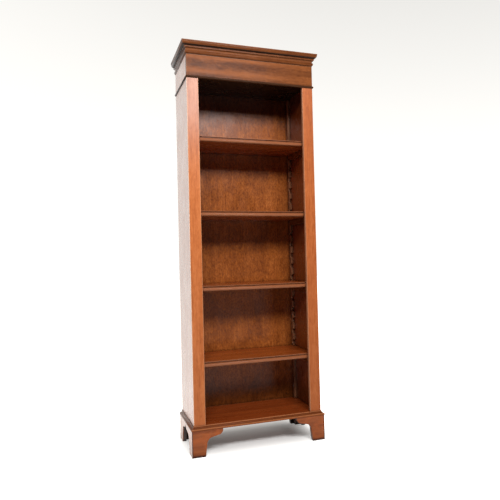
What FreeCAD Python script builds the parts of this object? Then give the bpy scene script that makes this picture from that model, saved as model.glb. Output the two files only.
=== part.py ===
"""Slim open bookcase with adjustable shelves, in millimetres.

Frame: X across the front (viewer's right is +X), Y to the back, Z up.
The origin is under the centre of the overall box, on the floor.
"""
import FreeCAD, Part
import os

from FreeCAD import Vector

# ---- driving dimensions -------------------------------------------------
CASE_W = 610.0            # over the two side panels
CASE_D = 272.0            # stile face to back edge
FLOOR_TO_BASE = 114.5     # height of the bracket feet
BOTTOM_TOP_Z = 134.0      # top of the fixed bottom board
FRIEZE_Z = 1672.0         # lower edge of the frieze rail
CORNICE_Z = 1771.5        # underside of the cornice
CORNICE_H = 56.5
CORNICE_P = 21.4          # how far the cornice stands proud of the case
CORNICE_SEAT = 9.0        # how far it sits in over the case walls

PANEL_T = 18.0            # side panels and top board
STILE_W = 52.6
STILE_T = 16.0
BACK_T = 10.0
BACK_REBATE_W = 9.0       # rebate in the side panels that takes the back panel
BACK_GAP = 0.5            # free space beside the back panel
CEILING_Z = 1686.0        # underside of the top board
DUST_T = 10.0

BEAD_H = 10.2             # astragal under the frieze
BEAD_P = 4.8
BASE_P = 14.5             # projection of the base moulding

FOOT_P = 12.0             # projection of the feet
FOOT_T = 18.0
FOOT_TIP = 140.5          # corner of the case to the tip of a bracket
FOOT_BLOCK = 32.0
FOOT_BLOCK_LIFT = 3.0     # the block stops short of the floor

RACK_T = 12.0             # rack strip, off the side panel
RACK_W = 24.0             # rack strip, along the depth
NOTCH_R = 13.0
NOTCH_PITCH = 56.2
NOTCHES = 19
SHELF_NOTCHES = (0, 6, 12, 18)
SHELF_1_Z = 379.8         # underside of the lowest shelf
SHELF_T = 24.0
FIT = 0.3                 # running clearance of the loose pieces
SHELF_GAP = 1.0           # shelf to side panels and racks
SHELF_BACK_GAP = 0.7
SHELF_FRONT_GAP = 0.5

SCREW_HEAD_R = 4.0
SCREW_SHANK_R = 2.0
SCREW_HEAD_H = 2.5
SCREW_SLOT = 1.0

# ---- places that follow from them ---------------------------------------
HALF_W = CASE_W / 2
INNER_X = HALF_W - PANEL_T
OVERALL_D = CASE_D + CORNICE_P
BACK_Y = OVERALL_D / 2
FRONT_Y = BACK_Y - CASE_D
STILE_BACK_Y = FRONT_Y + STILE_T
BACK_PANEL_Y = BACK_Y - BACK_T
RACK_X = INNER_X - RACK_T
RACK_FRONT_Y = STILE_BACK_Y + RACK_W
RACK_REAR_Y = BACK_PANEL_Y - RACK_W
CLEAT_R = NOTCH_R - FIT
NOTCH_1_Z = SHELF_1_Z - FIT - CLEAT_R

SIDES = {"left": -1, "right": 1}
UP = Vector(0, 0, 1)


# ---- helpers ------------------------------------------------------------
def box(x0, x1, y0, y1, z0, z1):
    """Box between two corners."""
    low = Vector(min(x0, x1), min(y0, y1), min(z0, z1))
    return Part.makeBox(abs(x1 - x0), abs(y1 - y0), abs(z1 - z0), low)


def outline(start, steps, place):
    """Closed face from 2-D steps: a point is a line, a pair of points is an arc through the first."""
    edges = []
    here = start
    closing = [] if steps[-1][-1] == start else [start]
    for step in steps + closing:
        if isinstance(step[0], tuple):
            via, end = step
            edges.append(Part.Arc(place(*here), place(*via), place(*end)).toShape())
        else:
            end = step
            edges.append(Part.LineSegment(place(*here), place(*end)).toShape())
        here = end
    return Part.Face(Part.Wire(edges))


def plan_prism(points, z0, z1):
    """Vertical prism over a plan outline."""
    corners = [Vector(x, y, z0) for x, y in points]
    wire = Part.makePolygon(corners + corners[:1])
    return Part.Face(wire).extrude(UP * (z1 - z0))


def mirrored(shape):
    """The same shape on the other side of the case."""
    return shape.mirror(Vector(0, 0, 0), Vector(1, 0, 0))


def on_side(shape, side):
    """A right-hand shape, or its mirror image for the left."""
    return shape if SIDES[side] > 0 else mirrored(shape)


def save(name, shape):
    """Write one node."""
    shape.exportStep(os.path.join("parts", name + ".step"))


def wood_screw(head, inward, length):
    """Countersunk slotted screw and the hole it fills; head is the middle of the head's face."""
    cone = Part.makeCone(SCREW_HEAD_R, SCREW_SHANK_R, SCREW_HEAD_H, head, inward)
    shank_start = head + inward * SCREW_HEAD_H
    shank = Part.makeCylinder(SCREW_SHANK_R, length - SCREW_HEAD_H, shank_start, inward)
    hole = cone.fuse(shank).removeSplitter()
    slot = Part.makeBox(SCREW_SLOT, 2 * SCREW_HEAD_R, 2 * SCREW_SLOT)
    slot.translate(Vector(-SCREW_SLOT / 2, -SCREW_HEAD_R, -SCREW_SLOT))
    slot.Placement = FreeCAD.Placement(head, FreeCAD.Rotation(UP, inward)).multiply(slot.Placement)
    return hole.cut(slot), hole


# ---- mitred runs round the front and the two sides ----------------------
def run_plan(where, outer, inner):
    """Plan corners of a mitred run that reaches from outer (proud) to inner (behind the case face)."""
    corner = (HALF_W + outer, FRONT_Y - outer)
    heel = (HALF_W - inner, FRONT_Y + inner)
    if where == "front":
        return [(-corner[0], corner[1]), corner, heel, (-heel[0], heel[1])]
    return [corner, (corner[0], BACK_Y), (heel[0], BACK_Y), heel]


def mitred_run(where, start, steps, outer, inner):
    """Moulding of one section, along the front or one side, mitred at the front corners.

    The section is drawn as (distance proud of the case, height).
    """
    z0 = start[1]
    z1 = CORNICE_Z + CORNICE_H
    if where == "front":
        face = outline(start, steps, lambda p, z: Vector(-HALF_W - outer, FRONT_Y - p, z))
        bar = face.extrude(Vector(CASE_W + 2 * outer, 0, 0))
        return bar.common(plan_prism(run_plan("front", outer, inner), z0, z1))
    face = outline(start, steps, lambda p, z: Vector(HALF_W + p, FRONT_Y - outer, z))
    bar = face.extrude(Vector(0, CASE_D + outer, 0))
    return on_side(bar.common(plan_prism(run_plan("side", outer, inner), z0, z1)), where)


def cornice_section():
    """Bed bead, cove, fillet and a quarter-round crown under a square edge."""
    z = CORNICE_Z
    start = (-CORNICE_SEAT, z)
    steps = [
        (0.0, z),
        (0.0, z + 2.5),
        ((5.4, z + 10.5), (1.4, z + 18.5)),
        (1.4, z + 20.0),
        ((2.6, z + 25.4), (7.0, z + 28.6)),
        (8.8, z + 28.6),
        (8.8, z + 36.0),
        (11.4, z + 36.0),
        ((18.0, z + 42.2), (20.2, z + 51.6)),
        (CORNICE_P, z + 51.6),
        (CORNICE_P, z + CORNICE_H),
        (-CORNICE_SEAT, z + CORNICE_H),
    ]
    return start, steps


def astragal_section():
    """Half-round bead that covers the joint under the frieze."""
    z = FRIEZE_Z - BEAD_H / 2
    start = (0.0, z)
    steps = [
        (1.2, z),
        ((BEAD_P, z + BEAD_H / 2), (1.2, z + BEAD_H)),
        (0.0, z + BEAD_H),
    ]
    return start, steps


def base_section():
    """Small bead, cove and rounded nose, flush with the bottom board at the top."""
    z = FLOOR_TO_BASE
    start = (0.0, z)
    steps = [
        (BASE_P - 1.5, z),
        (BASE_P, z + 1.5),
        (BASE_P, z + 4.6),
        ((BASE_P - 0.7, z + 6.6), (BASE_P - 2.6, z + 7.4)),
        (BASE_P - 3.4, z + 7.4),
        ((6.0, z + 9.2), (3.8, z + 14.6)),
        (3.8, z + 16.2),
        ((3.0, z + 18.6), (0.6, BOTTOM_TOP_Z)),
        (0.0, BOTTOM_TOP_Z),
    ]
    return start, steps


def save_mouldings():
    """Front run and two returns of each moulding."""
    sections = {
        "cornice": (cornice_section(), CORNICE_P, CORNICE_SEAT),
        "astragal": (astragal_section(), BEAD_P, 0.0),
        "base_moulding": (base_section(), BASE_P, 0.0),
    }
    for name, ((start, steps), outer, inner) in sections.items():
        for where in ("front", "left", "right"):
            save(name + "_" + where, mitred_run(where, start, steps, outer, inner))


# ---- carcase ------------------------------------------------------------
def side_panel(holes):
    """Right-hand side, rebated at the back for the back panel."""
    panel = box(INNER_X, HALF_W, STILE_BACK_Y, BACK_Y, BOTTOM_TOP_Z, CORNICE_Z)
    rebate_x = INNER_X + BACK_REBATE_W
    rebate = box(INNER_X, rebate_x, BACK_PANEL_Y, BACK_Y, BOTTOM_TOP_Z, CORNICE_Z)
    return panel.cut(rebate).cut(holes)


def stile():
    """Right-hand stile of the face frame."""
    return box(HALF_W - STILE_W, HALF_W, FRONT_Y, STILE_BACK_Y, BOTTOM_TOP_Z, FRIEZE_Z)


def frieze_rail():
    """Top rail of the face frame, over both stiles."""
    return box(-HALF_W, HALF_W, FRONT_Y, STILE_BACK_Y, FRIEZE_Z, CORNICE_Z)


def bottom_board():
    """Fixed board that the sides stand on."""
    return box(-HALF_W, HALF_W, FRONT_Y, BACK_Y, FLOOR_TO_BASE, BOTTOM_TOP_Z)


def top_board():
    """Ceiling board between the sides."""
    return box(-INNER_X, INNER_X, STILE_BACK_Y, BACK_PANEL_Y, CEILING_Z, CEILING_Z + PANEL_T)


def back_panel(holes):
    """Figured panel in the side rebates."""
    half = INNER_X + BACK_REBATE_W - BACK_GAP
    return box(-half, half, BACK_PANEL_Y, BACK_Y, BOTTOM_TOP_Z, CORNICE_Z).cut(holes)


def dust_board():
    """Thin lid on the carcase, inside the cornice."""
    half = HALF_W - CORNICE_SEAT
    front = FRONT_Y + CORNICE_SEAT
    return box(-half, half, front, BACK_Y, CORNICE_Z, CORNICE_Z + DUST_T)


def cornice_blocks():
    """Triangular blocks in the cornice's corners and along its inner faces."""
    leg = 26.0
    z0 = CORNICE_Z + DUST_T
    z1 = CORNICE_Z + CORNICE_H - 6.0
    x = HALF_W - CORNICE_SEAT
    y = FRONT_Y + CORNICE_SEAT
    corner = plan_prism([(x, y), (x, y + leg), (x - leg, y)], z0, z1)
    rear = plan_prism([(x, BACK_Y), (x, BACK_Y - leg), (x - leg, BACK_Y)], z0, z1)
    return Part.makeCompound([corner, mirrored(corner), rear, mirrored(rear)])


# ---- bracket feet -------------------------------------------------------
def foot_outline(place):
    """Tapered leg, concave sweep and rounded tip, drawn from the outer corner of the foot."""
    top = FLOOR_TO_BASE
    steps = [
        (61.0, 0.0),
        (67.5, 50.0),
        ((71.6, 67.7), (86.0, 80.5)),
        (118.0, 87.5),
        ((134.0, 94.8), (FOOT_TIP, 107.0)),
        (FOOT_TIP, top),
        (0.0, top),
    ]
    return outline((0.0, 0.0), steps, place)


def foot_front_face():
    """Front bracket of the right-hand front foot."""
    corner_x = HALF_W + FOOT_P
    face = foot_outline(lambda s, z: Vector(corner_x - s, FRONT_Y - FOOT_P, z))
    inner = FOOT_T - FOOT_P
    return face.extrude(Vector(0, FOOT_T, 0)).common(
        plan_prism(run_plan("front", FOOT_P, inner), 0.0, FLOOR_TO_BASE))


def foot_front_side():
    """Side bracket of the right-hand front foot."""
    x = HALF_W + FOOT_P - FOOT_T
    face = foot_outline(lambda s, z: Vector(x, FRONT_Y - FOOT_P + s, z))
    inner = FOOT_T - FOOT_P
    return face.extrude(Vector(FOOT_T, 0, 0)).common(
        plan_prism(run_plan("side", FOOT_P, inner), 0.0, FLOOR_TO_BASE))


def foot_rear_side():
    """Side bracket of the right-hand rear foot."""
    x = HALF_W + FOOT_P - FOOT_T
    face = foot_outline(lambda s, z: Vector(x, BACK_Y - s, z))
    return face.extrude(Vector(FOOT_T, 0, 0))


def foot_rear_back():
    """Back bracket of the right-hand rear foot, butted against the side bracket."""
    corner_x = HALF_W + FOOT_P
    face = foot_outline(lambda s, z: Vector(corner_x - s, BACK_Y - FOOT_T, z))
    side_board = box(corner_x - FOOT_T, corner_x, FRONT_Y, BACK_Y, 0.0, FLOOR_TO_BASE)
    return face.extrude(Vector(0, FOOT_T, 0)).cut(side_board)


def foot_block(y0, direction):
    """Square glued block in the inner corner of a right-hand foot."""
    x = HALF_W + FOOT_P - FOOT_T
    return box(x - FOOT_BLOCK, x, y0, y0 + direction * FOOT_BLOCK, FOOT_BLOCK_LIFT, FLOOR_TO_BASE)


def save_feet():
    """Two brackets and a block for each of the four feet."""
    front_inner_y = FRONT_Y - FOOT_P + FOOT_T
    rear_inner_y = BACK_Y - FOOT_T
    pieces = {
        "foot_front_{}_face": foot_front_face(),
        "foot_front_{}_side": foot_front_side(),
        "foot_rear_{}_side": foot_rear_side(),
        "foot_rear_{}_back": foot_rear_back(),
        "foot_front_{}_block": foot_block(front_inner_y, 1),
        "foot_rear_{}_block": foot_block(rear_inner_y, -1),
    }
    for side in SIDES:
        for name, shape in pieces.items():
            save(name.format(side), on_side(shape, side))


# ---- racks, cleats and shelves ------------------------------------------
def rack(y0, y1, notch_y, holes):
    """Right-hand rack strip with half-round notches in the edge that faces the other rack."""
    strip = box(RACK_X, INNER_X, y0, y1, BOTTOM_TOP_Z, CEILING_Z)
    for number in range(NOTCHES):
        centre = Vector(RACK_X, notch_y, NOTCH_1_Z + number * NOTCH_PITCH)
        strip = strip.cut(Part.makeCylinder(NOTCH_R, RACK_T, centre, Vector(1, 0, 0)))
    return strip.cut(holes)


def rack_screw_places():
    """Middle of each screw head on the right-hand racks, in the lands between notches."""
    heights = [BOTTOM_TOP_Z + 60.0]
    heights += [NOTCH_1_Z + (number + 0.5) * NOTCH_PITCH for number in (3, 8, 13)]
    heights += [CEILING_Z - 60.0]
    depths = (STILE_BACK_Y + RACK_W / 2, BACK_PANEL_Y - RACK_W / 2)
    return [Vector(RACK_X, y, z) for y in depths for z in heights]


def cleat(number):
    """Right-hand cleat with round ends that lie in the notches."""
    z = NOTCH_1_Z + number * NOTCH_PITCH
    x = RACK_X + FIT
    face = outline(
        (RACK_FRONT_Y, z - CLEAT_R),
        [
            (RACK_REAR_Y, z - CLEAT_R),
            ((RACK_REAR_Y + CLEAT_R, z), (RACK_REAR_Y, z + CLEAT_R)),
            (RACK_FRONT_Y, z + CLEAT_R),
            ((RACK_FRONT_Y - CLEAT_R, z), (RACK_FRONT_Y, z - CLEAT_R)),
        ],
        lambda y, height: Vector(x, y, height),
    )
    return face.extrude(Vector(RACK_T - 2 * FIT, 0, 0))


def shelf(number):
    """Loose shelf with a moulded front edge, notched at its corners round the racks."""
    z = SHELF_1_Z + number * NOTCH_PITCH
    front = STILE_BACK_Y + SHELF_FRONT_GAP
    back = BACK_PANEL_Y - SHELF_BACK_GAP
    half = INNER_X - SHELF_GAP
    nose = 8.0
    quirk = 9.5
    lip = 5.0
    section = outline(
        (back, z),
        [
            (front + nose, z),
            ((front, z + nose), (front + nose, z + 2 * nose)),
            (front + quirk, z + 17.0),
            (front + quirk, z + 20.0),
            (front + lip, z + 21.4),
            (front + lip, z + SHELF_T),
            (back, z + SHELF_T),
        ],
        lambda y, height: Vector(-half, y, height),
    )
    board = section.extrude(Vector(2 * half, 0, 0))
    notch_x = RACK_X - SHELF_GAP
    for y0, y1 in ((front, RACK_FRONT_Y + SHELF_GAP), (RACK_REAR_Y - SHELF_GAP, back)):
        corner = box(notch_x, HALF_W, y0, y1, z, z + SHELF_T)
        board = board.cut(corner).cut(mirrored(corner))
    return board


def save_inside():
    """Side panels, racks and screws, which share their screw holes, then cleats and shelves."""
    pairs = [wood_screw(place, Vector(1, 0, 0), RACK_T + 13.0) for place in rack_screw_places()]
    screws = [pair[0] for pair in pairs]
    holes = Part.makeCompound([pair[1] for pair in pairs])
    save("rack_screws", Part.makeCompound(screws + [mirrored(screw) for screw in screws]))
    strips = {
        "rack_front_{}": rack(STILE_BACK_Y, RACK_FRONT_Y, RACK_FRONT_Y, holes),
        "rack_rear_{}": rack(RACK_REAR_Y, BACK_PANEL_Y, RACK_REAR_Y, holes),
    }
    for side in SIDES:
        for name, shape in strips.items():
            save(name.format(side), on_side(shape, side))
        for order, number in enumerate(SHELF_NOTCHES, start=1):
            save("cleat_{}_{}".format(order, side), on_side(cleat(number), side))
    for order, number in enumerate(SHELF_NOTCHES, start=1):
        save("shelf_{}".format(order), shelf(number))
    return holes


def back_screws():
    """Screws and holes down both edges of the back panel."""
    count = 6
    margin = 70.0
    x = INNER_X + BACK_REBATE_W / 2
    span = CORNICE_Z - BOTTOM_TOP_Z - 2 * margin
    heights = [BOTTOM_TOP_Z + margin + span * index / (count - 1) for index in range(count)]
    pairs = [wood_screw(Vector(x, BACK_Y, z), Vector(0, -1, 0), BACK_T + 16.0) for z in heights]
    screws = [pair[0] for pair in pairs]
    holes = Part.makeCompound([pair[1] for pair in pairs])
    return Part.makeCompound(screws + [mirrored(screw) for screw in screws]), holes


def main():
    os.makedirs("parts", exist_ok=True)
    rack_holes = save_inside()
    screws, back_holes = back_screws()
    save("back_screws", screws)
    save("back_panel", back_panel(Part.makeCompound([back_holes, mirrored(back_holes)])))
    side_holes = Part.makeCompound([rack_holes, back_holes])
    for side in SIDES:
        save("side_panel_" + side, on_side(side_panel(side_holes), side))
        save("stile_" + side, on_side(stile(), side))
    save("frieze_rail", frieze_rail())
    save("bottom_board", bottom_board())
    save("top_board", top_board())
    save("dust_board", dust_board())
    save("cornice_blocks", cornice_blocks())
    save_mouldings()
    save_feet()


main()
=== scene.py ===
"""Slim antique mahogany bookcase with adjustable shelves: looks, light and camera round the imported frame.

Everything is in metres in the part's own frame: X across the front, Y to the back, Z up.
"""
import math

import bpy
from mathutils import Matrix, Vector


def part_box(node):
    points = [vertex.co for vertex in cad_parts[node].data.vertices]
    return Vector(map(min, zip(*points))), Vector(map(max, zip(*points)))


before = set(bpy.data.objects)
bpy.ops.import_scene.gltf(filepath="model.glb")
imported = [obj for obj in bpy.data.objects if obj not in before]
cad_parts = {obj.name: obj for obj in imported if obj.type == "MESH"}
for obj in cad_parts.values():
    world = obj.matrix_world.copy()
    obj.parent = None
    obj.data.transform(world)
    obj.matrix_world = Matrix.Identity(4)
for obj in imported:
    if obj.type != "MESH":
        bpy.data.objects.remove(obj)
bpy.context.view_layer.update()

# ---- camera, floor and light --------------------------------------------
CAMERA_AT = Vector((-0.7423, -2.2896, 0.8527))
CAMERA_YAW = 0.3186        # radians, turned from the +Y direction towards +X
CAMERA_PITCH = 0.0200      # radians, upwards
CAMERA_ROLL = -0.0240      # radians
SENSOR = 36.0              # mm
LENS = 36.01               # mm

FLOOR_REACH = 20.0         # to each side
FLOOR_COLOUR = (0.93, 0.93, 0.92, 1.0)
FLOOR_ROUGH = 0.9
FLOOR_POLISH = 0.1
FLOOR_PAINTED_GLOW = 1.3           # painted glow of the paper, away from the case
PAPER_SHADOW_SHIFT = 0.04         # painted glow held back under the case and a little behind it, where the case's shadow falls
PAPER_SHADOW_HALF = (0.20, 0.07)
PAPER_GLOW_UNDER = 0.06         # painted glow left right under the case
PAPER_CLEAR = 0.27         # how far from the case it reaches full strength
SURROUND_COLOUR = (1.0, 0.985, 0.95, 1.0)
FRONT_GLOW = 0.05          # light that comes from the room in front of the case
BACK_GLOW = 0.35           # and from the backdrop behind it
TOP_GLOW = 0.50            # and from overhead
GROUND_SHARE = 0.3         # how much of each reaches the case from below
MIRROR_GAIN = 1.45         # brightness of the backdrop in the polish, next to what the camera sees
BEHIND = (0.05, 0.8)       # how far back a ray points where the backdrop sets in and is full
OVERHEAD = (0.35, 0.95)    # the same upwards, for the glow from overhead
HORIZON = (-0.03, 0.0)     # the same, from below the floor to above it
SEEN_LEVEL = 1.27          # backdrop before the camera, at floor height
SEEN_FALL = 0.75           # how much darker it gets upwards
SEEN_LEAN = 0.5            # more of that to the right
SEEN_RANGE = (0.75, 1.1)

LIGHT_AIM = (0.0, 0.0, 1.1)
KEY_AT = (0.32, -2.6, 2.50)
KEY_SIZE = (1.1, 0.6)
KEY_POWER = 63.5
LEFT_AT = (-1.16, -2.6, 2.62)
LEFT_SIZE = (0.8, 0.6)
LEFT_POWER = 42.0

BOUNCE_AT = (0.0, -0.8, 0.01)
BOUNCE_SIZE = (2.4, 1.3)
BOUNCE_POWER = 7.0


def add_camera():
    """Pinhole camera turned by yaw, pitch and roll."""
    forward = Vector((
        math.sin(CAMERA_YAW) * math.cos(CAMERA_PITCH),
        math.cos(CAMERA_YAW) * math.cos(CAMERA_PITCH),
        math.sin(CAMERA_PITCH),
    ))
    level = Vector((math.cos(CAMERA_YAW), -math.sin(CAMERA_YAW), 0.0))
    upright = level.cross(forward)
    right = math.cos(CAMERA_ROLL) * level + math.sin(CAMERA_ROLL) * upright
    up = -math.sin(CAMERA_ROLL) * level + math.cos(CAMERA_ROLL) * upright
    data = bpy.data.cameras.new("camera")
    data.lens = LENS
    data.sensor_width = SENSOR
    camera = bpy.data.objects.new("camera", data)
    turn = Matrix((right, up, -forward)).transposed()
    camera.matrix_world = Matrix.Translation(CAMERA_AT) @ turn.to_4x4()
    bpy.context.scene.collection.objects.link(camera)
    bpy.context.scene.camera = camera


def add_area_light(name, at, aim, size, power):
    """Soft box at a place, turned towards another."""
    data = bpy.data.lights.new(name, "AREA")
    data.shape = "RECTANGLE"
    data.size, data.size_y = size
    data.energy = power
    light = bpy.data.objects.new(name, data)
    light.location = at
    light.rotation_euler = (Vector(aim) - Vector(at)).to_track_quat("-Z", "Y").to_euler()
    light.visible_camera = False
    bpy.context.scene.collection.objects.link(light)
    return light


def add_floor():
    """Wide sheet of pale paper. It bounces no light of its own onto the case: the bounce light does that."""
    mesh = bpy.data.meshes.new("floor")
    reach = FLOOR_REACH
    corners = [(-reach, -reach, 0), (reach, -reach, 0), (reach, reach, 0), (-reach, reach, 0)]
    mesh.from_pydata(corners, [], [(0, 1, 2, 3)])
    mesh.materials.append(paper())
    floor = bpy.data.objects.new("floor", mesh)
    floor.visible_diffuse = False
    bpy.context.scene.collection.objects.link(floor)


def paper():
    """Matt white background paper with a painted glow that whitens it further out, held back under the case
    and a little behind it, where the case's shadow falls.
    """
    g = Graph.material("floor_paper")
    g.shader.inputs["Base Color"].default_value = FLOOR_COLOUR
    g.shader.inputs["Roughness"].default_value = FLOOR_ROUGH
    g.shader.inputs["Specular IOR Level"].default_value = FLOOR_POLISH
    g.shader.inputs["Emission Color"].default_value = SURROUND_COLOUR
    spot = g.spot()
    across = g.math("ABSOLUTE", spot["X"])
    along = g.math("ABSOLUTE", g.math("SUBTRACT", spot["Y"], PAPER_SHADOW_SHIFT))
    beyond = [
        g.math("MAXIMUM", g.math("SUBTRACT", value, half), 0.0)
        for value, half in zip((across, along), PAPER_SHADOW_HALF)
    ]
    squares = [g.math("POWER", value, 2.0) for value in beyond]
    away = g.math("SQRT", g.math("ADD", *squares))
    # painted light: the paper glows, most of all away from the case
    glow = g.ease(away, 0.0, PAPER_CLEAR, PAPER_GLOW_UNDER, FLOOR_PAINTED_GLOW)
    g.link(glow, g.shader.inputs["Emission Strength"])
    return g.owner


def add_surround():
    """Backdrop behind the case and dim room in front; the camera sees an even pale ground all round."""
    world = bpy.data.worlds.new("surround")
    world.use_nodes = True
    bpy.context.scene.world = world
    g = Graph(world)
    split = g.node("ShaderNodeSeparateXYZ")
    g.link(g.node("ShaderNodeTexCoord").outputs["Generated"], split.inputs[0])
    x, y, z = split.outputs
    behind = g.ease(y, *BEHIND)
    overhead = g.ease(z, *OVERHEAD, FRONT_GLOW, TOP_GLOW)
    room = g.math("ADD", g.math("MULTIPLY", behind, BACK_GLOW), overhead)
    room = g.math("MULTIPLY", room, g.ease(z, *HORIZON, GROUND_SHARE, 1.0))
    lean = g.math("MULTIPLY_ADD", x, SEEN_LEAN, 1.0)
    fall = g.math("MULTIPLY", g.math("MULTIPLY", z, lean), SEEN_FALL)
    seen = g.math("MAXIMUM", g.math("SUBTRACT", SEEN_LEVEL, fall), SEEN_RANGE[0])
    seen = g.math("MINIMUM", seen, SEEN_RANGE[1])
    mirrored = g.math("MULTIPLY", g.math("MULTIPLY", seen, behind), MIRROR_GAIN)
    path = g.node("ShaderNodeLightPath").outputs
    strength = g.choose(path["Is Glossy Ray"], room, g.math("MAXIMUM", mirrored, FRONT_GLOW))
    strength = g.choose(path["Is Camera Ray"], strength, seen)
    sky = g.tree.nodes["Background"]
    sky.inputs["Color"].default_value = SURROUND_COLOUR
    g.link(strength, sky.inputs["Strength"])


def add_stage():
    """Pale floor, surround, two soft boxes high in front and a faint bounce off the floor."""
    add_floor()
    add_surround()
    add_area_light("key", KEY_AT, LIGHT_AIM, KEY_SIZE, KEY_POWER)
    add_area_light("left", LEFT_AT, LIGHT_AIM, LEFT_SIZE, LEFT_POWER)
    above = Vector(BOUNCE_AT) + Vector((0.0, 0.0, 1.0))
    bounce = add_area_light("bounce", BOUNCE_AT, above, BOUNCE_SIZE, BOUNCE_POWER)
    bounce.visible_glossy = False
    bpy.context.scene.view_settings.view_transform = "Standard"


# ---- wood -----------------------------------------------------------------
ALONG_LAST = {"x": "YZX", "y": "XZY", "z": "XYZ"}
MIX_NUMBERS = (2, 3, 0)      # sockets of a Mix node: a, b and the result
MIX_COLOURS = (6, 7, 2)


class Graph:
    """Short way to add and link shader nodes."""

    def __init__(self, owner):
        self.owner = owner
        self.tree = owner.node_tree
        self.shader = self.tree.nodes.get("Principled BSDF")

    @classmethod
    def material(cls, name):
        """Graph of a new material."""
        made = bpy.data.materials.new(name)
        made.use_nodes = True
        return cls(made)

    def link(self, source, socket):
        """Feed a socket from another, or set it to a value."""
        if isinstance(source, bpy.types.NodeSocket):
            self.tree.links.new(source, socket)
        else:
            socket.default_value = source

    def node(self, kind, **settings):
        made = self.tree.nodes.new(kind)
        for key, value in settings.items():
            setattr(made, key, value)
        return made

    def math(self, operation, a, b=0.0, c=0.0):
        made = self.node("ShaderNodeMath", operation=operation)
        for value, socket in zip((a, b, c), made.inputs):
            self.link(value, socket)
        return made.outputs[0]

    def spot(self):
        """The three object coordinates of the shaded point."""
        split = self.node("ShaderNodeSeparateXYZ")
        self.link(self.node("ShaderNodeTexCoord").outputs["Object"], split.inputs[0])
        return split.outputs

    def place(self, grain, along, seed):
        """Object coordinates with the last one along the grain, drawn out by 1/along."""
        spot = self.spot()
        join = self.node("ShaderNodeCombineXYZ")
        for index, letter in enumerate(ALONG_LAST[grain]):
            scale = along if index == 2 else 1.0
            moved = self.math("MULTIPLY_ADD", spot[letter], scale, seed * (1.7 + index))
            self.link(moved, join.inputs[index])
        return join.outputs[0]

    def noise(self, vector, scale, detail=2.0, rough=0.5, distortion=0.0):
        made = self.node("ShaderNodeTexNoise")
        self.link(vector, made.inputs["Vector"])
        made.inputs["Scale"].default_value = scale
        made.inputs["Detail"].default_value = detail
        made.inputs["Roughness"].default_value = rough
        made.inputs["Distortion"].default_value = distortion
        return made.outputs["Fac"]

    def ramp(self, value, *stops):
        """Colour ramp; each stop is (position, colour)."""
        made = self.node("ShaderNodeValToRGB")
        elements = made.color_ramp.elements
        while len(elements) < len(stops):
            elements.new(0.5)
        for element, (position, colour) in zip(elements, stops):
            element.position = position
            element.color = (*colour, 1.0)
        self.link(value, made.inputs[0])
        return made.outputs[0]

    def span(self, value, low, high, to_low=0.0, to_high=1.0):
        """Value mapped from low..high to to_low..to_high, held at the ends."""
        made = self.node("ShaderNodeMapRange")
        for number, socket in zip((value, low, high, to_low, to_high), made.inputs):
            self.link(number, socket)
        return made.outputs[0]

    def ease(self, value, low, high, to_low=0.0, to_high=1.0):
        """As span, with a smooth start and end."""
        made = self.span(value, low, high, to_low, to_high)
        made.node.interpolation_type = "SMOOTHSTEP"
        return made

    def choose(self, factor, a, b):
        """Number a where the factor is 0 and b where it is 1."""
        made = self.node("ShaderNodeMix")
        first, second, result = MIX_NUMBERS
        self.link(factor, made.inputs[0])
        self.link(a, made.inputs[first])
        self.link(b, made.inputs[second])
        return made.outputs[result]

    def mix(self, kind, factor, a, b):
        """Colour a changed by colour b, as much as the factor says."""
        made = self.node("ShaderNodeMix", data_type="RGBA", blend_type=kind)
        first, second, result = MIX_COLOURS
        self.link(factor, made.inputs[0])
        for colour, index in ((a, first), (b, second)):
            self.link((*colour, 1.0) if isinstance(colour, tuple) else colour, made.inputs[index])
        return made.outputs[result]


MAHOGANY = ((0.39, 0.096, 0.024), (0.58, 0.166, 0.048), (0.72, 0.235, 0.078))
MAHOGANY_EVEN = ((0.50, 0.138, 0.038), (0.56, 0.160, 0.046), (0.62, 0.185, 0.056))
MAHOGANY_WARM = ((0.34, 0.076, 0.018), (0.50, 0.133, 0.036), (0.62, 0.190, 0.060))
MAHOGANY_DEEP = ((0.17, 0.037, 0.008), (0.25, 0.060, 0.014), (0.34, 0.090, 0.023))
MAHOGANY_DARK = ((0.11, 0.029, 0.008), (0.19, 0.056, 0.015), (0.30, 0.094, 0.026))
MAHOGANY_RED = ((0.20, 0.038, 0.006), (0.29, 0.060, 0.010), (0.39, 0.090, 0.017))
MAHOGANY_RUSSET = ((0.16, 0.027, 0.005), (0.235, 0.043, 0.008), (0.32, 0.066, 0.013))
NEAR_BLACK = ((0.030, 0.012, 0.006), (0.055, 0.022, 0.010), (0.095, 0.036, 0.015))
# painted shadow: the ceiling board is near black for the shade it lies in
CEILING_SHADOW_TONES = ((0.016, 0.007, 0.003), (0.026, 0.011, 0.004), (0.042, 0.016, 0.006))
FIGURED = ((0.20, 0.050, 0.009), (0.345, 0.097, 0.018), (0.48, 0.150, 0.032))
RACKWOOD = ((0.16, 0.062, 0.028), (0.29, 0.120, 0.058), (0.45, 0.205, 0.105))
PINE = ((0.20, 0.105, 0.045), (0.34, 0.190, 0.090), (0.46, 0.280, 0.145))

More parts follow.
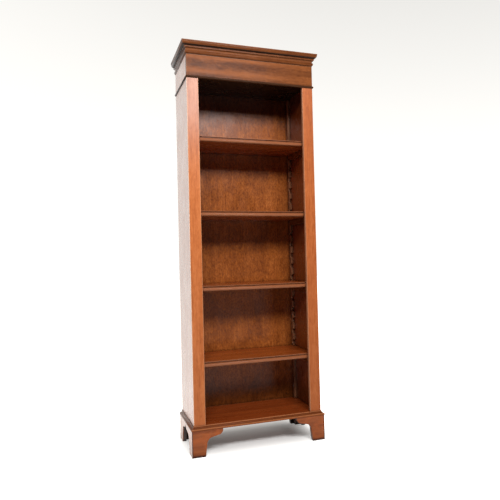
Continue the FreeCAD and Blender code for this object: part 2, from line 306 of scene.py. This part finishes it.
DARK_TINT = (0.16, 0.085, 0.055)     # dark tint: painted shade in quirks and creases, partly old polish left there; also darkens the feet
RUBBED = (0.82, 0.38, 0.18)      # colour rubbed thin on an arris
LIP_HIGHLIGHT = (0.30, 0.115, 0.052)     # painted highlight of a shelf's lip and arrises, partly waxed wear
QUIRK_SHADOW = (0.022, 0.009, 0.004)     # painted shadow in a moulding's quirk
BEAD_HIGHLIGHT = (0.46, 0.175, 0.070)     # painted highlight on a moulding's bead or fillet
PORE_TINT = (0.35, 0.22, 0.15)   # open pores
END_SHADOW_TINT = (0.30, 0.27, 0.25)   # painted shadow inside the case near the ceiling and the bottom board
FLECK = (0.48, 0.40, 0.34)       # fine marks of the back's veneer
FLAME = (0.55, 0.48, 0.40)       # and its broad figure
DULL_BAND_AND_HAZE = (0.48, 0.46, 0.52)   # middle of the frieze, partly faded polish, partly painted haze of reflected light
FADED_BAND = (0.39, 0.118, 0.032)    # bands above and below it
INNER_RED_AND_SHADE = (0.185, 0.034, 0.006)    # inside of the side panels: redder, and darkened as painted shade
LOW_SHADE_AND_DIRT = (0.30, 0.25, 0.20)       # stiles towards the floor: painted shade, partly grime
LAMP_HAZE = (0.60, 0.62, 0.70)       # painted haze of the lamp's reflection at the top of the left stile
ARRIS_HIGHLIGHT = (0.90, 0.52, 0.32)  # painted highlight on the stiles' corners, partly rubbed wear
KEPT_RED = (0.42, 0.095, 0.020)  # feet where the polish has kept
FOOT_INSIDE_SHADOW = (0.022, 0.012, 0.010)    # painted shadow on the inside of the feet

ARRIS = 0.0025                   # width of a corner's painted highlight
TOP_SHADOW_FADE = (1.48, 1.66)      # heights where the painted shadow inside starts and is darkest
BOTTOM_SHADOW_FADE = (0.27, 0.17)
LOW_SHADE_FADE = (1.1, 0.05, 0.0, 0.34)      # painted shade, partly grime: from height, to height, share at each
LAMP_HAZE_FADE = (1.25, 1.60, 0.0, 0.55)
LAMP_HAZE_SIDE = (0.0, -0.1)         # it sets in left of the middle
STILE_COAT = (0.9, 1.6, 0.0, 0.36)       # coat that the stiles' faces keep towards the top
FLANK = (0.0010, 0.0004)         # distance in from the outer side where its polish begins
NEAR_FRONT = (0.010, 0.006)      # distance behind the stiles' face
LIP = (0.014, 0.009)             # distance behind a shelf's front edge
PANEL_SKIN = (0.003, 0.008)      # distance in from the outer side of a panel, to its inner colour
FOOT_SKIN = (0.002, 0.005)       # the same on a foot's side bracket
SOLE = (0.013, 0.003)            # height of the dark line along the floor
FOOT_CORNER = (0.007, 0.002)     # distance in from a foot's outer corner
LINE_BLUR = 0.0008               # soft edge of a moulding's line

WELD_REACH = 0.00002
BEVEL_WIDTH = 0.0008
BEVEL_STEPS = 2
BEVEL_FROM = 38.0                # degrees
PORE_DEPTH = 0.0004
COAT_ROUGH = 0.3

# what a wood finish has unless its row says otherwise
PLAIN = {
    "figure": 0.25,         # share of cross figure in the tone
    "roughness": 0.27,
    "polish": 0.15,         # specular level of the waxed face
    "coat": 0.0,            # French polish over it
    "quirk_shade": 0.7,            # painted shade in creases, partly old glaze in the quirks
    "quirk_shade_reach": 0.012,
    "edge": 0.5,            # how far an arris takes the edge colour
    "edge_colour": RUBBED,
    "edge_reach": 0.0022,
    "relief": 0.25,
    "pores": 1.0,
    "extra": None,          # further colouring of its own
}


def grain_tone(g, grain, tones, seed, figure):
    """Long streaks, broad ribbons and a cross figure; also returns the streaks for the relief."""
    long_place = g.place(grain, 0.05, seed)
    streaks = g.noise(long_place, 230.0, 6.0, 0.62, 0.15)
    ribbons = g.noise(long_place, 42.0, 3.0, 0.5, 0.6)
    mottle = g.noise(g.place(grain, 0.45, seed), 55.0, 3.0, 0.55, 1.2)
    total = g.math("MULTIPLY", streaks, 0.45 - 0.25 * figure)
    total = g.math("MULTIPLY_ADD", ribbons, 0.55 - 0.5 * figure, total)
    total = g.math("MULTIPLY_ADD", mottle, 0.75 * figure, total)
    return g.ramp(total, *zip((0.34, 0.5, 0.66), tones)), streaks


def pore_mask(g, grain, seed):
    """Short open pores, drawn out along the grain."""
    return g.span(g.noise(g.place(grain, 0.04, seed + 3.1), 1500.0, 1.0, 0.5), 0.60, 0.70)


def paint_crease_shade(g, tone, amount, reach):
    """Painted shade: darker where another surface stands close, partly old polish left in the quirks."""
    crevice = g.node("ShaderNodeAmbientOcclusion", samples=6)
    crevice.inputs["Distance"].default_value = reach
    shade = g.span(crevice.outputs["AO"], 0.35, 0.97, amount, 0.0)
    return g.mix("MULTIPLY", shade, tone, DARK_TINT)


def colour_edges(g, tone, grain, seed, amount, colour, reach):
    """Colour along the arrises, broken into patches."""
    rounded = g.node("ShaderNodeBevel", samples=4)
    rounded.inputs["Radius"].default_value = reach
    dot = g.node("ShaderNodeVectorMath", operation="DOT_PRODUCT")
    g.link(rounded.outputs[0], dot.inputs[0])
    g.link(g.node("ShaderNodeNewGeometry").outputs["Normal"], dot.inputs[1])
    edge = g.span(dot.outputs["Value"], 0.995, 0.88)
    patches = g.span(g.noise(g.place(grain, 1.0, seed), 30.0, 4.0), 0.34, 0.58, 0.25, 1.0)
    return g.mix("MIX", g.math("MULTIPLY", g.math("MULTIPLY", edge, patches), amount), tone, colour)


def wood(name, grain, tones, seed, settings):
    """Polished wood with the look of a table row."""
    look = {**PLAIN, **settings}
    g = Graph.material(name)
    tone, streaks = grain_tone(g, grain, tones, seed, look["figure"])
    pores = g.math("MULTIPLY", pore_mask(g, grain, seed), look["pores"])
    tone = g.mix("MULTIPLY", g.math("MULTIPLY", pores, 0.35), tone, PORE_TINT)
    if look["extra"]:
        tone = look["extra"](g, tone)
    tone = colour_edges(
        g, tone, grain, seed, look["edge"], look["edge_colour"], look["edge_reach"]
    )
    tone = paint_crease_shade(g, tone, look["quirk_shade"], look["quirk_shade_reach"])
    g.link(tone, g.shader.inputs["Base Color"])

    smear = g.noise(g.place(grain, 0.6, seed + 5.0), 14.0, 4.0, 0.6)
    base = look["roughness"]
    rough = g.span(smear, 0.3, 0.7, base - 0.05, base + 0.07)
    g.link(g.math("MULTIPLY_ADD", pores, 0.12, rough), g.shader.inputs["Roughness"])
    g.shader.inputs["Specular IOR Level"].default_value = look["polish"]
    g.shader.inputs["Coat Weight"].default_value = look["coat"]
    g.shader.inputs["Coat Roughness"].default_value = COAT_ROUGH
    bump = g.node("ShaderNodeBump")
    bump.inputs["Strength"].default_value = look["relief"]
    bump.inputs["Distance"].default_value = PORE_DEPTH
    height = g.math("MULTIPLY_ADD", pores, -0.5, g.math("MULTIPLY", streaks, 0.35))
    g.link(height, bump.inputs["Height"])
    g.link(bump.outputs[0], g.shader.inputs["Normal"])
    return g.owner


def paint_end_shadow(g, tone):
    """Painted shadow: darker under the ceiling and behind the bottom board."""
    height = g.spot()["Z"]
    ends = g.math("MAXIMUM", g.ease(height, *TOP_SHADOW_FADE), g.ease(height, *BOTTOM_SHADOW_FADE))
    return g.mix("MULTIPLY", g.math("MULTIPLY", ends, 0.8), tone, END_SHADOW_TINT)


def veneer_figure(g, tone):
    """Fine short flecks and faint flames of a mottled veneer."""
    # painted shadow towards the ceiling and the bottom board
    tone = paint_end_shadow(g, tone)
    flecks = g.noise(g.place("z", 0.5, 7.3), 170.0, 4.0, 0.65, 0.6)
    tone = g.mix("MULTIPLY", g.span(flecks, 0.44, 0.60, 0.0, 0.75), tone, FLECK)
    spot = g.spot()
    drift = g.noise(g.place("z", 0.8, 2.9), 7.0, 3.0, 0.5, 0.8)
    rise = g.math("MULTIPLY", spot["Z"], 17.0)
    arch = g.math("MULTIPLY_ADD", g.math("ABSOLUTE", spot["X"]), -26.0, rise)
    flame = g.math("SINE", g.math("MULTIPLY_ADD", drift, 15.0, arch))
    return g.mix("MULTIPLY", g.span(flame, 0.1, 0.9, 0.0, 0.35), tone, FLAME)


def frieze_bands(g, tone):
    """Dark middle between two warmer bands, as the old polish has faded; the middle's grey, stronger to the
    left, is partly painted haze of reflected light.
    """
    low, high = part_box("frieze_rail")
    drift = g.noise(g.place("x", 0.12, 4.4), 40.0, 3.0, 0.5)
    height = g.span(g.spot()["Z"], low[2], high[2])
    height = g.math("ADD", height, g.math("MULTIPLY_ADD", drift, 0.16, -0.08))
    lower = g.math("MULTIPLY", g.ease(height, 0.08, 0.28), g.ease(height, 0.54, 0.30))
    warm = g.math("MAXIMUM", lower, g.ease(height, 0.76, 0.94))
    cloud = g.noise(g.place("x", 0.6, 9.2), 16.0, 4.0, 0.6)
    middle = g.math("MULTIPLY", g.math("SUBTRACT", 1.0, warm), g.ease(cloud, 0.36, 0.60))
    # painted haze of reflected light, stronger towards the left
    middle = g.math("MULTIPLY", middle, g.ease(g.spot()["X"], -0.05, 0.25, 0.75, 0.2))
    tone = g.mix("MULTIPLY", middle, tone, DULL_BAND_AND_HAZE)
    warm = g.math("MULTIPLY", warm, g.ease(g.spot()["X"], 0.0, 0.25, 0.42, 0.2))
    return g.mix("MIX", warm, tone, FADED_BAND)


def paint_shade_lines(node, lines):
    """Painted shadow and highlight: level lines along a moulding.

    Each line is (low, high, colour, share), with its heights from the moulding's underside.
    """
    def colour(g, tone):
        height = g.math("SUBTRACT", g.spot()["Z"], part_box(node)[0][2])
        for low, high, line, share in lines:
            rise = g.ease(height, low - LINE_BLUR, low)
            fall = g.ease(height, high + LINE_BLUR, high)
            within = g.math("MULTIPLY", g.math("MULTIPLY", rise, fall), share)
            tone = g.mix("MIX", within, tone, line)
        return tone
    return colour


def shelf_lip(g, tone):
    """Front moulding of a shelf: paler, a painted highlight where the lip catches the light, partly waxed
    and rubbed by books and hands.
    """
    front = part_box("shelf_1")[0][1]
    lip = g.ease(g.spot()["Y"], front + LIP[0], front + LIP[1])
    return g.mix("MIX", g.math("MULTIPLY", lip, 0.7), tone, LIP_HIGHLIGHT)


def inner_face(g, tone):
    """Inside of the case: darker and redder than the polished outside; the darkness is partly painted shade.
    """
    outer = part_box("side_panel_right")[1][0]
    across = g.math("ABSOLUTE", g.spot()["X"])
    inside = g.ease(across, outer - PANEL_SKIN[0], outer - PANEL_SKIN[1])
    return g.mix("MIX", g.math("MULTIPLY", inside, 0.95), tone, paint_end_shadow(g, INNER_RED_AND_SHADE))


def floor_shade_and_dirt(g, tone):
    """Darker towards the floor: painted shade, partly grime."""
    return g.mix("MULTIPLY", g.ease(g.spot()["Z"], *LOW_SHADE_FADE), tone, LOW_SHADE_AND_DIRT)


def stile_face(g, tone):
    """Painted shade near the floor, partly grime; painted haze of the lamp's reflection at the top; painted
    highlight on the corners, partly wear; the outer side is French polished.
    """
    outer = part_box("stile_right")[1][0]
    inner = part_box("stile_right")[0][0]
    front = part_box("stile_left")[0][1]
    spot = g.spot()
    across = g.math("ABSOLUTE", spot["X"])
    flank = g.ease(across, outer - FLANK[0], outer - FLANK[1])
    g.link(g.choose(flank, g.ease(spot["Z"], *STILE_COAT), 1.0), g.shader.inputs["Coat Weight"])
    # painted shade towards the floor, partly grime
    tone = floor_shade_and_dirt(g, tone)
    # painted haze of the lamp's reflection, at the top of the left stile
    lamp_haze = g.math("MULTIPLY", g.ease(spot["Z"], *LAMP_HAZE_FADE), g.ease(spot["X"], *LAMP_HAZE_SIDE))
    tone = g.mix("MULTIPLY", lamp_haze, tone, LAMP_HAZE)
    # painted highlight along the stiles' corners, partly wear
    left_side = g.ease(spot["X"], ARRIS - outer, ARRIS - outer - 0.001)
    near_front = g.ease(spot["Y"], front + NEAR_FRONT[0], front + NEAR_FRONT[1])
    corner = g.math("MULTIPLY", left_side, near_front)
    mouth = g.math("MULTIPLY", g.ease(across, inner + ARRIS, inner), 0.6)
    worn_and_lit = g.math("MULTIPLY", g.math("MAXIMUM", corner, mouth), 0.65)
    return g.mix("MIX", worn_and_lit, tone, ARRIS_HIGHLIGHT)


def foot_darkening(g, tone):
    """Dark along the floor and the outer corner, redder where the polish has kept."""
    cloud = g.ease(g.noise(g.place("x", 0.7, 3.8), 22.0, 3.0, 0.6), 0.46, 0.62)
    tone = g.mix("MIX", g.math("MULTIPLY", cloud, 0.45), tone, KEPT_RED)
    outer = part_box("foot_front_right_side")[1][0]
    spot = g.spot()
    across = g.math("ABSOLUTE", spot["X"])
    corner = g.ease(across, outer - FOOT_CORNER[0], outer - FOOT_CORNER[1])
    darkened = g.math("MULTIPLY", g.math("MAXIMUM", g.ease(spot["Z"], *SOLE), corner), 0.85)
    return g.mix("MULTIPLY", darkened, tone, DARK_TINT)


def paint_foot_inside_shadow(g, tone):
    """Painted shadow: near-black inside of a foot's side bracket."""
    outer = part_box("foot_front_right_side")[1][0]
    across = g.math("ABSOLUTE", g.spot()["X"])
    inside = g.ease(across, outer - FOOT_SKIN[0], outer - FOOT_SKIN[1])
    return g.mix("MIX", g.math("MULTIPLY", inside, 0.95), tone, FOOT_INSIDE_SHADOW)


# ---- finish of each part --------------------------------------------------
STILE = {"figure": 0.4, "polish": 0.10, "edge": 0.8, "extra": stile_face}
POLISHED = {
    "polish": 0.5, "coat": 0.45, "relief": 0.004, "pores": 0.15, "figure": 0.1, "edge": 0.0,
}
# the mouldings' edge colour is a painted highlight along their arrises
MOULDED = {"polish": 0.07, "quirk_shade": 0.95, "edge": 0.5, "edge_colour": (0.42, 0.175, 0.075)}
# painted shadow lines in the quirks and painted highlight lines on the beads and fillets
CORNICE_SHADE_LINES = paint_shade_lines("cornice_front", (
    (0.0000, 0.0020, QUIRK_SHADOW, 0.75),
    (0.0200, 0.0280, BEAD_HIGHLIGHT, 0.25),
    (0.0358, 0.0400, QUIRK_SHADOW, 0.90),
))
BASE_SHADE_LINES = paint_shade_lines("base_moulding_front", (
    (0.0000, 0.0012, QUIRK_SHADOW, 0.75),
    (0.0058, 0.0078, BEAD_HIGHLIGHT, 0.75),
    (0.0082, 0.0165, QUIRK_SHADOW, 0.30),
    (0.0178, 0.0195, BEAD_HIGHLIGHT, 0.75),
))
CORNICE = {**MOULDED, "extra": CORNICE_SHADE_LINES}
CORNICE_END = {**CORNICE, "polish": 0.17}
BASE = {**MOULDED, "extra": BASE_SHADE_LINES}
BASE_END = {**MOULDED, "polish": 0.14}
FOOTED = {
    "quirk_shade": 0.85, "edge": 0.85, "edge_colour": (0.055, 0.024, 0.014), "extra": foot_darkening,
}
SIDED = {**POLISHED, "extra": paint_foot_inside_shadow}

# node name start -> (grain, tones, what differs from the plain finish)
WOODS = {
    "side_panel": ("z", MAHOGANY_EVEN, {**POLISHED, "extra": inner_face}),
    "stile_left": ("z", MAHOGANY, STILE),
    "stile_right": ("z", MAHOGANY_WARM, STILE),
    "frieze_rail": ("x", MAHOGANY_DARK, {"figure": 0.5, "polish": 0.05, "extra": frieze_bands}),
    "cornice_front": ("x", MAHOGANY_DARK, CORNICE),
    "cornice_left": ("y", MAHOGANY_DARK, CORNICE_END),
    "cornice_right": ("y", MAHOGANY_DARK, CORNICE_END),
    "astragal_front": ("x", NEAR_BLACK, {"polish": 0.05}),
    "astragal_left": ("y", NEAR_BLACK, {"polish": 0.05}),
    "astragal_right": ("y", NEAR_BLACK, {"polish": 0.05}),
    "base_moulding_front": ("x", MAHOGANY_DEEP, BASE),
    "base_moulding_left": ("y", MAHOGANY_DARK, BASE_END),
    "base_moulding_right": ("y", MAHOGANY_DARK, BASE_END),
    "bottom_board": ("x", MAHOGANY_RUSSET, {}),
    "top_board": ("x", CEILING_SHADOW_TONES, {}),
    "back_panel": ("z", FIGURED, {"figure": 0.6, "polish": 0.15, "extra": veneer_figure}),
    "shelf": ("x", MAHOGANY_RED, {"extra": shelf_lip, "edge_colour": LIP_HIGHLIGHT}),
    "foot_front_left_side": ("y", MAHOGANY_EVEN, SIDED),
    "foot_front_right_side": ("y", MAHOGANY_EVEN, SIDED),
    "foot_rear_left_side": ("y", MAHOGANY_EVEN, SIDED),
    "foot_rear_right_side": ("y", MAHOGANY_EVEN, SIDED),
    "foot_front_left_face": ("x", MAHOGANY_DEEP, FOOTED),
    "foot_front_right_face": ("x", MAHOGANY_DEEP, FOOTED),
    # painted shadow: the remaining foot pieces, in the shade under the case, are near black
    "foot": ("x", NEAR_BLACK, {}),
    "rack_front": ("z", RACKWOOD, {"quirk_shade": 0.9, "quirk_shade_reach": 0.02}),
    "rack_rear": ("z", RACKWOOD, {"quirk_shade": 0.9, "quirk_shade_reach": 0.02}),
    "cleat": ("y", MAHOGANY_DARK, {}),
    "dust_board": ("x", PINE, {"roughness": 0.6}),
    "cornice_blocks": ("z", PINE, {"roughness": 0.6}),
}


def steel():
    """Dulled steel of old slotted screws."""
    g = Graph.material("old_steel")
    stain = g.noise(g.place("x", 1.0, 2.0), 900.0, 4.0, 0.6)
    tone = g.ramp(stain, (0.35, (0.10, 0.075, 0.055)), (0.6, (0.34, 0.32, 0.29)))
    g.link(tone, g.shader.inputs["Base Color"])
    g.link(g.span(stain, 0.3, 0.7, 0.55, 0.35), g.shader.inputs["Roughness"])
    g.shader.inputs["Metallic"].default_value = 1.0
    return g.owner


def finish_for(node, seed):
    """Material of a node, from the first table row that its name starts with."""
    if node.endswith("screws"):
        return steel()
    for start, (grain, tones, settings) in WOODS.items():
        if node.startswith(start):
            return wood(node + "_finish", grain, tones, seed, settings)
    raise KeyError(node)


def dress_nodes():
    """Own material and softened edges on every part of the case."""
    for index, (name, obj) in enumerate(sorted(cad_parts.items())):
        material = finish_for(name, 0.37 * (index + 1))
        for place in obj.material_slots:
            place.material = material
        if not name.endswith("screws"):
            weld = obj.modifiers.new("weld", "WELD")
            weld.merge_threshold = WELD_REACH
            bevel = obj.modifiers.new("soft_edges", "BEVEL")
            bevel.width = BEVEL_WIDTH
            bevel.segments = BEVEL_STEPS
            bevel.limit_method = "ANGLE"
            bevel.angle_limit = math.radians(BEVEL_FROM)


add_camera()
add_stage()
dress_nodes()
